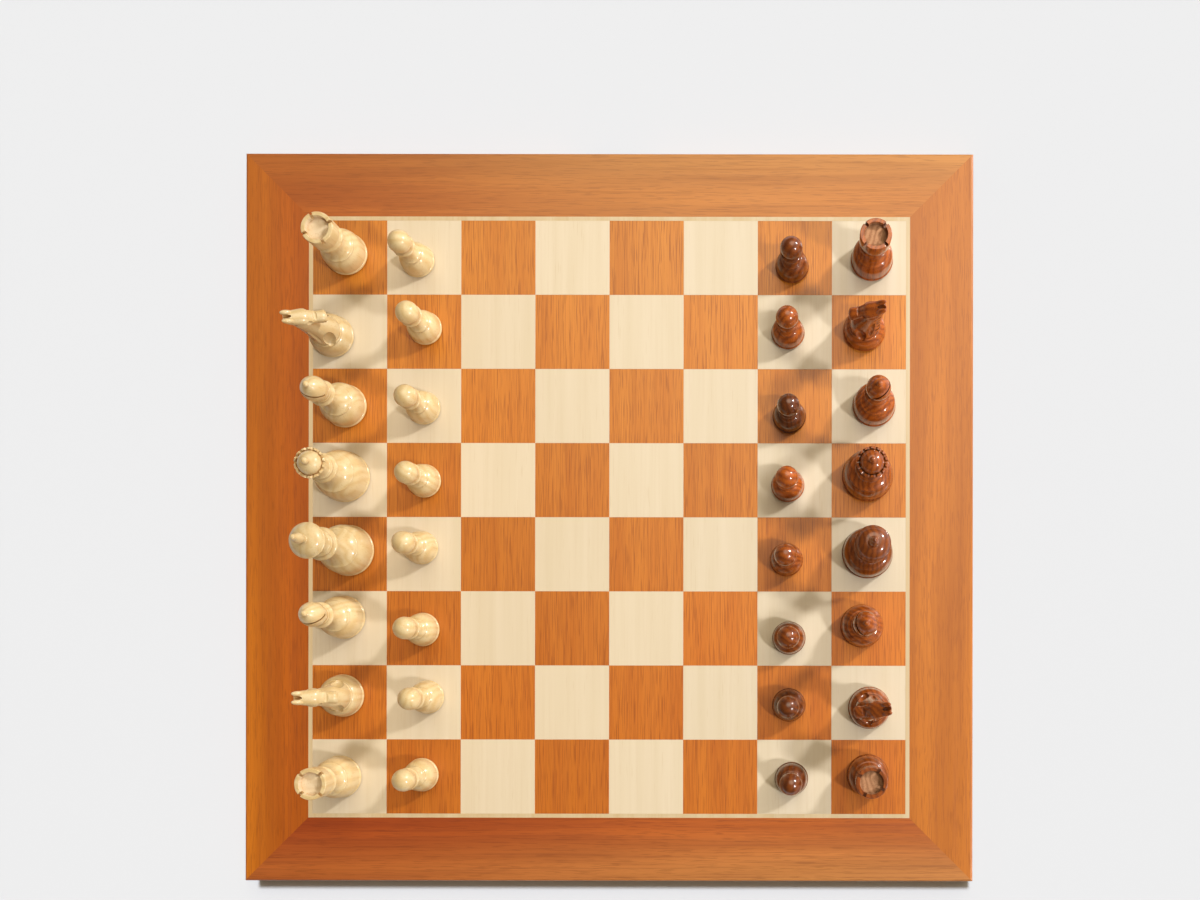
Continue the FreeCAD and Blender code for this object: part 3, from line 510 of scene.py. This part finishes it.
# CAD solids whose shape is already right, and what each is made of
dressed = {
    "rail_front": railWood["front"],
    "rail_back": railWood["back"],
    "rail_left": railWood["left"],
    "rail_right": railWood["right"],
    "inlay_strips": inlayWood,
    "mitre_splines": made["beechSpline"],
    "playing_panel": made["fibreboard"],
    "bottom_panel": made["hardboard"],
    "sensor_board": made["circuitBoard"],
    "row_loops": made["copperTrack"],
    "column_loops": made["copperTrack"],
    "support_battens": made["pineBatten"],
    "bottom_screws": made["zincSteel"],
    "small_screws": made["zincSteel"],
    "feet": made["mouldedRubber"],
    "main_board": made["circuitBoard"],
    "processor": made["chipEpoxy"],
    "radio_module": made["tinnedCan"],
    "battery_pack": made["shrinkFilm"],
    "port_plate": made["mouldedAbs"],
    "power_button": made["polishedAbs"],
    "usb_socket": made["nickelSteel"],
    "button_switch": made["switchNylon"],
    "status_light": made["acrylicRod"],
    "ribbon_cable": made["ribbonPvc"],
    "battery_lead": made["leadPvc"],
}
for node, material in dressed.items():
    nodes[node].data.materials.clear()
    nodes[node].data.materials.append(material)
print("solids dressed:", len(dressed))


# The squares: veneer tiles with a faint chamfer at the seams, laid in turn over the field
squareField = {
    "squaresASide": 8,
    "chamfer": 0.12 * mm,
    "middleColumn": 3.5,       # counted from 0
    "columnsBesideIt": 1.6,    # takes in columns 2 to 5, where no man stands
    "light": {"node": "light_squares", "parity": 0, "seed": 4,
              "veneer": lightSquareWood, "slot": "light_veneer"},
    "dark": {"node": "dark_squares", "parity": 1, "seed": 9,
             "veneer": darkSquareWood, "slot": "dark_veneer"},
}
squareInputs = {
    "Square": "Float",
    "Squares a side": "Int",
    "Thickness": "Float",
    "Underside": "Float",
    "Chamfer": "Float",
    "Parity": "Int",
    "Between": "Float",
    "Seed": "Int",
    "Veneer": "Material",
}


def squareTree():
    tree = bpy.data.node_groups.new("squareField", "GeometryNodeTree")
    tree.interface.new_socket("Squares", in_out="OUTPUT", socket_type="NodeSocketGeometry")
    for name, kind in squareInputs.items():
        tree.interface.new_socket(name, in_out="INPUT", socket_type="NodeSocket" + kind)
    given = addNode(tree, "NodeGroupInput", {}, {}).outputs
    nearlySame = 0.1
    gaps = addNode(tree, "ShaderNodeMath", {"operation": "SUBTRACT"}, {0: given["Squares a side"], 1: 1.0})
    reach = addNode(tree, "ShaderNodeMath", {"operation": "MULTIPLY"}, {0: gaps.outputs[0], 1: given["Square"]})
    middles = addNode(tree, "GeometryNodeMeshGrid", {},
                      {"Size X": reach.outputs[0], "Size Y": reach.outputs[0],
                       "Vertices X": given["Squares a side"], "Vertices Y": given["Squares a side"]})
    index = addNode(tree, "GeometryNodeInputIndex", {}, {}).outputs[0]
    column = addNode(tree, "ShaderNodeMath", {"operation": "DIVIDE"}, {0: index, 1: given["Squares a side"]})
    column = addNode(tree, "ShaderNodeMath", {"operation": "FLOOR"}, {0: column.outputs[0]})
    row = addNode(tree, "ShaderNodeMath", {"operation": "MODULO"}, {0: index, 1: given["Squares a side"]})
    both = addNode(tree, "ShaderNodeMath", {"operation": "ADD"}, {0: column.outputs[0], 1: row.outputs[0]})
    odd = addNode(tree, "ShaderNodeMath", {"operation": "MODULO"}, {0: both.outputs[0], 1: 2.0})
    chosen = addNode(tree, "ShaderNodeMath", {"operation": "COMPARE"},
                     {0: odd.outputs[0], 1: given["Parity"], 2: nearlySame})
    # The four columns between the two armies are one piece, the four that they stand on another
    within = addNode(tree, "ShaderNodeMath", {"operation": "COMPARE"},
                     {0: column.outputs[0], 1: squareField["middleColumn"], 2: squareField["columnsBesideIt"]})
    zone = addNode(tree, "ShaderNodeMath", {"operation": "COMPARE"},
                   {0: within.outputs[0], 1: given["Between"], 2: nearlySame})
    picked = addNode(tree, "ShaderNodeMath", {"operation": "MULTIPLY"},
                     {0: chosen.outputs[0], 1: zone.outputs[0]})
    points = addNode(tree, "GeometryNodeMeshToPoints", {},
                     {"Mesh": middles.outputs[0], "Selection": picked.outputs[0]})
    body = addNode(tree, "ShaderNodeMath", {"operation": "SUBTRACT"},
                   {0: given["Thickness"], 1: given["Chamfer"]})
    size = addNode(tree, "ShaderNodeCombineXYZ", {},
                   {0: given["Square"], 1: given["Square"], 2: body.outputs[0]})
    block = addNode(tree, "GeometryNodeMeshCube", {}, {"Size": size.outputs[0]})
    normal = addNode(tree, "GeometryNodeInputNormal", {}, {}).outputs[0]
    upward = addNode(tree, "ShaderNodeSeparateXYZ", {}, {0: normal}).outputs[2]
    top = addNode(tree, "ShaderNodeMath", {"operation": "GREATER_THAN"}, {0: upward, 1: 0.5})
    raised = addNode(tree, "GeometryNodeExtrudeMesh", {"mode": "FACES"},
                     {"Mesh": block.outputs[0], "Selection": top.outputs[0], "Offset Scale": given["Chamfer"]})
    bite = addNode(tree, "ShaderNodeMath", {"operation": "DIVIDE"}, {0: given["Chamfer"], 1: given["Square"]})
    slim = addNode(tree, "ShaderNodeMath", {"operation": "MULTIPLY_ADD"}, {0: bite.outputs[0], 1: -2.0, 2: 1.0})
    tile = addNode(tree, "GeometryNodeScaleElements", {"domain": "FACE"},
                   {"Geometry": raised.outputs["Mesh"], "Selection": raised.outputs["Top"],
                    "Scale": slim.outputs[0]})
    half = addNode(tree, "ShaderNodeMath", {"operation": "MULTIPLY_ADD"},
                   {0: body.outputs[0], 1: 0.5, 2: given["Underside"]})
    lift = addNode(tree, "ShaderNodeCombineXYZ", {}, {2: half.outputs[0]})
    laid = addNode(tree, "GeometryNodeSetPosition", {},
                   {"Geometry": points.outputs[0], "Offset": lift.outputs[0]})
    field = addNode(tree, "GeometryNodeInstanceOnPoints", {},
                    {"Points": laid.outputs[0], "Instance": tile.outputs[0]})
    chance = addNode(tree, "FunctionNodeRandomValue", {"data_type": "FLOAT"}, {"Seed": given["Seed"]})
    seeded = addNode(tree, "GeometryNodeStoreNamedAttribute", {"domain": "INSTANCE", "data_type": "FLOAT"},
                     {"Geometry": field.outputs[0], "Name": "tileSeed", "Value": chance.outputs[1]})
    real = addNode(tree, "GeometryNodeRealizeInstances", {}, {"Geometry": seeded.outputs[0]})
    veneered = addNode(tree, "GeometryNodeSetMaterial", {},
                       {"Geometry": real.outputs[0], "Material": given["Veneer"]})
    addNode(tree, "NodeGroupOutput", {}, {0: veneered.outputs[0]})
    return tree


fieldTree = squareTree()
inputNames = {item.name: item.identifier for item in fieldTree.interface.items_tree if item.in_out == "INPUT"}
between = []
for shade, zone in (("light", "Outer"), ("light", "Inner"), ("dark", "Outer"), ("dark", "Inner")):
    kind = squareField[shade]
    low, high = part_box(kind["node"])
    piece = bpy.data.objects.new(shade + "Veneer" + zone, bpy.data.meshes.new(shade + "Veneer" + zone))
    scene.collection.objects.link(piece)
    grower = piece.modifiers.new("squareField", "NODES")
    grower.node_group = fieldTree
    values = {
        "Square": (high.x - low.x) / squareField["squaresASide"],
        "Squares a side": squareField["squaresASide"],
        "Thickness": high.z - low.z,
        "Underside": low.z,
        "Chamfer": squareField["chamfer"],
        "Parity": kind["parity"],
        "Between": 1.0 if zone == "Inner" else 0.0,
        "Seed": kind["seed"],
        "Veneer": kind["veneer"],
    }
    for name, value in values.items():
        grower[inputNames[name]] = value
    bpy.context.view_layer.update()
    grown = piece.evaluated_get(bpy.context.evaluated_depsgraph_get())
    plain = bpy.data.meshes.new_from_object(grown)
    piece.modifiers.clear()
    piece.data = plain
    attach(piece, "board")
    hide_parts(kind["node"])
    if zone == "Inner":
        between.append(piece)
    print(shade, zone.lower(), "squares laid:", len(plain.polygons), "faces")


# The men: each stands for its solid, with its own spot of the blank and its own depth of stain
men = {
    "weld": 0.001 * mm,
    "crownReach": 1 * mm,      # the wood comes this near to the top of the solid
    "feltReach": 0.2 * mm,     # and the felt this near to its foot
    "creaseAngle": math.radians(32),
    "cupRadius": 8.3 * mm,
    "cupDepth": 4.1 * mm,
    "white": {"wood": whiteWood, "cup": whiteCup, "slot": "boxwood"},
    "black": {"wood": blackWood, "cup": blackCup, "slot": "stained_wood"},
    "seed": 21,
    "otherStain": (0.55, 0.8),    # drawn for a man that isn't named below
    "stain": {
        "white_king": 0.2, "white_knight_b": 0.1, "white_knight_g": 0.35, "white_bishop_c": 0.45,
        "white_queen": 0.5, "white_pawn_a": 0.75, "white_pawn_b": 0.8,
        "black_rook_a": 0.71, "black_knight_b": 0.76, "black_bishop_c": 0.68, "black_queen": 0.5,
        "black_king": 0.26, "black_bishop_f": 0.55, "black_knight_g": 0.47, "black_rook_h": 0.36,
        "black_pawn_a": 0.23, "black_pawn_b": 0.6, "black_pawn_c": 0.03, "black_pawn_d": 0.78,
        "black_pawn_e": 0.45, "black_pawn_f": 0.27, "black_pawn_g": 0.07, "black_pawn_h": 0.13,
    },
}
woodPart, feltPart, coilPart, cupPart = range(4)    # the order of a man's materials
# The knights' carving is cut deeper than in the solid: a gouge is a ball drawn out three ways.
# Sizes in mm from the foot, ahead, sideways and up; lean is towards the front and roll to the side, in degrees.
knightCarving = {
    "facing": {"white_knight_b": 15, "white_knight_g": 0, "black_knight_b": 180, "black_knight_g": 189},
    "rings": 14,
    "sortAlong": (1.0, 0.618, 0.383),    # a slanting line, so that no two corners tie
    "gouges": [
        {"at": (4.4, 9.9, 22.0), "reach": (4.8, 4.4, 8.2), "lean": 18, "roll": 9},     # front leaf on the neck
        {"at": (-4.2, 8.6, 27.5), "reach": (2.7, 3.4, 9.6), "lean": -6, "roll": 12},   # back leaf on the neck
        {"at": (3.1, 6.5, 48.2), "reach": (3.0, 2.5, 2.3), "lean": 33, "roll": 0},     # eye
        {"at": (-7.2, 6.3, 44.6), "reach": (6.0, 2.0, 1.5), "lean": 62, "roll": 0},    # back of the jaw
        {"at": (-10.6, 0.0, 57.4), "reach": (5.2, 1.5, 3.0), "lean": 33, "roll": 0},   # between the ears
    ],
}


def weld(bm):
    # Joins loose triangles at their corners and drops the slivers
    bmesh.ops.remove_doubles(bm, verts=bm.verts, dist=men["weld"])
    bmesh.ops.dissolve_degenerate(bm, edges=bm.edges, dist=men["weld"])


def carve(bm, facing, foot):
    # Cuts the gouges out of the wood and puts the carved wood back beside the coil and the felt
    balls = bmesh.new()
    rings = knightCarving["rings"]
    stand = Matrix.Translation(foot) @ Matrix.Rotation(math.radians(facing), 4, "Z") @ Matrix.Scale(mm, 4)
    for gouge in knightCarving["gouges"]:
        ahead, aside, up = gouge["at"]
        for sign in (-1, 1) if aside else (1,):
            spot = stand @ Matrix.Translation((ahead, sign * aside, up))
            spot = spot @ Matrix.Rotation(math.radians(sign * gouge["roll"]), 4, "X")
            spot = spot @ Matrix.Rotation(math.radians(gouge["lean"]), 4, "Y")
            spot = spot @ Matrix.Diagonal((*gouge["reach"], 1))
            bmesh.ops.create_uvsphere(balls, u_segments=2 * rings, v_segments=rings, radius=1.0, matrix=spot)
    wood = bm.copy()
    fittings = [face for face in wood.faces if face.material_index != woodPart]
    bmesh.ops.delete(wood, geom=fittings, context="FACES")
    uncarved = [face for face in bm.faces if face.material_index == woodPart]
    bmesh.ops.delete(bm, geom=uncarved, context="FACES")
    blanks = []
    for shape in (wood, balls):
        blank = bpy.data.objects.new("blank", bpy.data.meshes.new("blank"))
        shape.to_mesh(blank.data)
        shape.free()
        scene.collection.objects.link(blank)
        blanks.append(blank)
    cut = blanks[0].modifiers.new("gouges", "BOOLEAN")
    cut.operation = "DIFFERENCE"
    cut.solver = "EXACT"
    cut.object = blanks[1]
    bpy.context.view_layer.update()
    carved = bpy.data.meshes.new_from_object(blanks[0].evaluated_get(bpy.context.evaluated_depsgraph_get()))
    bm.from_mesh(carved)
    # The cut leaves corners, edges and faces in another order each run, so they are put in one
    slant = Vector(knightCarving["sortAlong"])
    bm.verts.sort(key=lambda vert: vert.co.dot(slant))
    bm.edges.sort(key=lambda edge: (edge.verts[0].co + edge.verts[1].co).dot(slant))
    bm.faces.sort(key=lambda face: face.calc_center_median().dot(slant))
    weld(bm)
    for blank in blanks:
        bpy.data.meshes.remove(blank.data)
    bpy.data.meshes.remove(carved)


chance = random.Random(men["seed"])
darkMen = []
manNames = sorted(name for name in nodes if name.startswith(("white_", "black_")))
for name in manNames:
    side = name.split("_")[0]
    low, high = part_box(name)
    bm = bmesh.new()
    bm.from_mesh(nodes[name].data)
    weld(bm)
    # Wood, tag coil and felt are three shells of one solid: sort them by where they lie
    unseen = set(bm.faces)
    while unseen:
        shell = [unseen.pop()]
        for face in shell:
            for edge in face.edges:
                for other in edge.link_faces:
                    if other in unseen:
                        unseen.discard(other)
                        shell.append(other)
        heights = [vert.co.z for face in shell for vert in face.verts]
        if max(heights) > high.z - men["crownReach"]:
            part = woodPart
        elif min(heights) < low.z + men["feltReach"]:
            part = feltPart
        else:
            part = coilPart
        for face in shell:
            face.material_index = part
            face.smooth = True
    foot = Vector(((low.x + high.x) / 2, (low.y + high.y) / 2, low.z))
    if "rook" in name:
        cupFloor = high.z - men["cupDepth"]
        for face in bm.faces:
            inCup = [(vert.co - foot).xy.length < men["cupRadius"] and vert.co.z > cupFloor
                     for vert in face.verts]
            if all(inCup):
                face.material_index = cupPart
    if "knight" in name:
        carve(bm, knightCarving["facing"][name], foot)
        for face in bm.faces:
            face.smooth = True
    for edge in bm.edges:
        edge.smooth = len(edge.link_faces) == 2 and edge.calc_face_angle() < men["creaseAngle"]
    mesh = bpy.data.meshes.new(name + "_wood")
    bm.to_mesh(mesh)
    bm.free()
    if "custom_normal" in mesh.attributes:
        mesh.attributes.remove(mesh.attributes["custom_normal"])
    turn = Matrix.Rotation(chance.uniform(0, math.tau), 3, "Z")
    away = Vector((chance.uniform(-1, 1), chance.uniform(-1, 1), chance.uniform(-1, 1)))
    grain = mesh.attributes.new("grainPlace", "FLOAT_VECTOR", "POINT")
    spots = []
    for vert in mesh.vertices:
        spots.extend(turn @ (vert.co - foot) + away)
    grain.data.foreach_set("vector", spots)
    tone = mesh.attributes.new("woodTone", "FLOAT", "POINT")
    depth = men["stain"].get(name, chance.uniform(*men["otherStain"]))
    tone.data.foreach_set("value", [depth] * len(mesh.vertices))
    materials = [men[side]["wood"], made["woolFelt"], made["copperTrack"]]
    if "rook" in name:
        materials.append(men[side]["cup"])
    for material in materials:
        mesh.materials.append(material)
    piece = bpy.data.objects.new(name + "_wood", mesh)
    scene.collection.objects.link(piece)
    if side == "black":
        darkMen.append(piece)
    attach(piece, name)
    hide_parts(name)
print("men turned:", len(manNames))


# A plain pale floor, two lamps on the right, a soft window behind the board and a room around them.
# The rails, the line and the squares between the men have lamps of their own that the men don't shade, and so
# has the floor. The dark men take more of both lamps.
rails = ("rail_front", "rail_back", "rail_left", "rail_right")
studio = {
    "floor": {"size": 8.0, "segments": 8, "colour": "#bcbcbc", "roughness": 0.9},
    "paperGrain": {"size": 1.11 * mm, "detail": 2.0, "depth": 0.1 * mm, "bumpStrength": 0.05},    # drawn coarse
    "backdrop": {"radius": 3.9, "height": 3.4, "segments": 96, "colour": "#efefef"},
    "highLamp": {"place": (1.704, 1.198, 1.193), "size": 0.26, "power": 39.0},
    "lowLamp": {"place": (1.645, -0.760, 1.575), "size": 0.26, "power": 26.4},
    "lampColour": "#ffffff",
    "darkMenShare": 0.6,
    "floorLight": {"towards": (0.0, 0.46, 1.0), "spread": math.radians(8), "power": 4.61, "colour": "#edf4ff"},
    "window": {"towards": (0.12, 0.44, 0.89), "inner": math.radians(4), "outer": math.radians(31),
               "colour": "#fff5dd", "power": 3.0},
    "skyColour": "#766752",
}
bm = bmesh.new()
ground = studio["floor"]
bmesh.ops.create_grid(bm, x_segments=ground["segments"], y_segments=ground["segments"], size=ground["size"] / 2)
floorMesh = bpy.data.meshes.new("paperFloor")
bm.to_mesh(floorMesh)
bm.free()
paper, tree, shader = startMaterial("mattPaper")
place = addNode(tree, "ShaderNodeTexCoord", {}, {}).outputs["Object"]
grain = studio["paperGrain"]
noise = addNode(tree, "ShaderNodeTexNoise", {},
                {"Vector": place, "Scale": 1 / grain["size"], "Detail": grain["detail"]})
bump = addNode(tree, "ShaderNodeBump", {},
               {"Strength": grain["bumpStrength"], "Distance": grain["depth"], "Height": noise.outputs[0]})
tree.links.new(bump.outputs[0], shader.inputs["Normal"])
shader.inputs["Base Color"].default_value = toLinear(ground["colour"])
shader.inputs["Roughness"].default_value = ground["roughness"]
floorMesh.materials.append(paper)
floor = bpy.data.objects.new("paperFloor", floorMesh)
scene.collection.objects.link(floor)
# A paper wall far behind, for the camera alone: it neither lights the men nor shows in their lacquer
wall = studio["backdrop"]
bm = bmesh.new()
bmesh.ops.create_cone(bm, cap_ends=False, segments=wall["segments"], radius1=wall["radius"],
                      radius2=wall["radius"], depth=wall["height"],
                      matrix=Matrix.Translation((0, 0, wall["height"] / 2)))
wallMesh = bpy.data.meshes.new("paperWall")
bm.to_mesh(wallMesh)
bm.free()
wallPaper, tree, shader = startMaterial("litPaper")
shader.inputs["Base Color"].default_value = (0, 0, 0, 1)
shader.inputs["Specular IOR Level"].default_value = 0.0
shader.inputs["Emission Color"].default_value = toLinear(wall["colour"])
shader.inputs["Emission Strength"].default_value = 1.0
wallPaper.cycles.emission_sampling = "NONE"
wallMesh.materials.append(wallPaper)
backdrop = bpy.data.objects.new("paperWall", wallMesh)
scene.collection.objects.link(backdrop)
backdrop.visible_diffuse = False
backdrop.visible_glossy = False
backdrop.visible_transmission = False
backdrop.visible_shadow = False


def linkTo(name, members, state):
    # A set of objects that a lamp lights, or leaves out
    group = bpy.data.collections.new(name)
    for member in members:
        group.objects.link(member)
    for entry in group.collection_objects:
        entry.light_linking.link_state = state
    return group


railObjects = [nodes[name] for name in rails]
nodes["rail_right"].visible_diffuse = False    # keeps the lit rail's warm glow off the paper
onTheRails = linkTo("onTheRails", railObjects, "INCLUDE")
clear = railObjects + between + [nodes["inlay_strips"]]
clearOfMen = linkTo("clearOfMen", clear, "INCLUDE")
besideTheMen = linkTo("besideTheMen", clear + [floor], "EXCLUDE")
onDarkMen = linkTo("onDarkMen", darkMen, "INCLUDE")
onTheFloor = linkTo("onTheFloor", [floor], "INCLUDE")
for name in ("highLamp", "lowLamp"):
    lamp = studio[name]
    for target, blockers, share in ((besideTheMen, None, 1.0), (clearOfMen, onTheRails, 1.0),
                                    (onDarkMen, None, studio["darkMenShare"])):
        light = bpy.data.lights.new(name, "AREA")
        light.shape = "DISK"
        light.size = lamp["size"]
        light.energy = lamp["power"] * share
        light.color = toLinear(studio["lampColour"])[:3]
        holder = bpy.data.objects.new(light.name, light)
        scene.collection.objects.link(holder)
        holder.location = lamp["place"]
        holder.rotation_euler = (-Vector(lamp["place"])).to_track_quat("-Z", "Y").to_euler()
        holder.light_linking.receiver_collection = target
        holder.light_linking.blocker_collection = blockers
overhead = studio["floorLight"]
light = bpy.data.lights.new("floorLight", "SUN")
light.angle = overhead["spread"]
light.energy = overhead["power"]
light.color = toLinear(overhead["colour"])[:3]
holder = bpy.data.objects.new("floorLight", light)
scene.collection.objects.link(holder)
holder.rotation_euler = (-Vector(overhead["towards"])).to_track_quat("-Z", "Y").to_euler()
holder.light_linking.receiver_collection = onTheFloor

room = bpy.data.worlds.new("softRoom")
room.use_nodes = True
scene.world = room
tree = room.node_tree
around = addNode(tree, "ShaderNodeTexCoord", {}, {}).outputs["Generated"]
window = studio["window"]
towards = Vector(window["towards"]).normalized()
near = addNode(tree, "ShaderNodeVectorMath", {"operation": "DOT_PRODUCT"}, {0: around, 1: towards})
pane = addNode(tree, "ShaderNodeMapRange", {"interpolation_type": "SMOOTHSTEP"},
               {0: near.outputs["Value"], 1: math.cos(window["outer"]), 2: math.cos(window["inner"]),
                4: window["power"]})
shine = addNode(tree, "ShaderNodeVectorMath", {"operation": "SCALE"},
                {0: toLinear(window["colour"])[:3], "Scale": pane.outputs[0]})
glow = addNode(tree, "ShaderNodeVectorMath", {"operation": "ADD"},
               {0: toLinear(studio["skyColour"])[:3], 1: shine.outputs[0]})
tree.links.new(glow.outputs[0], tree.nodes["Background"].inputs["Color"])
print("studio lit")
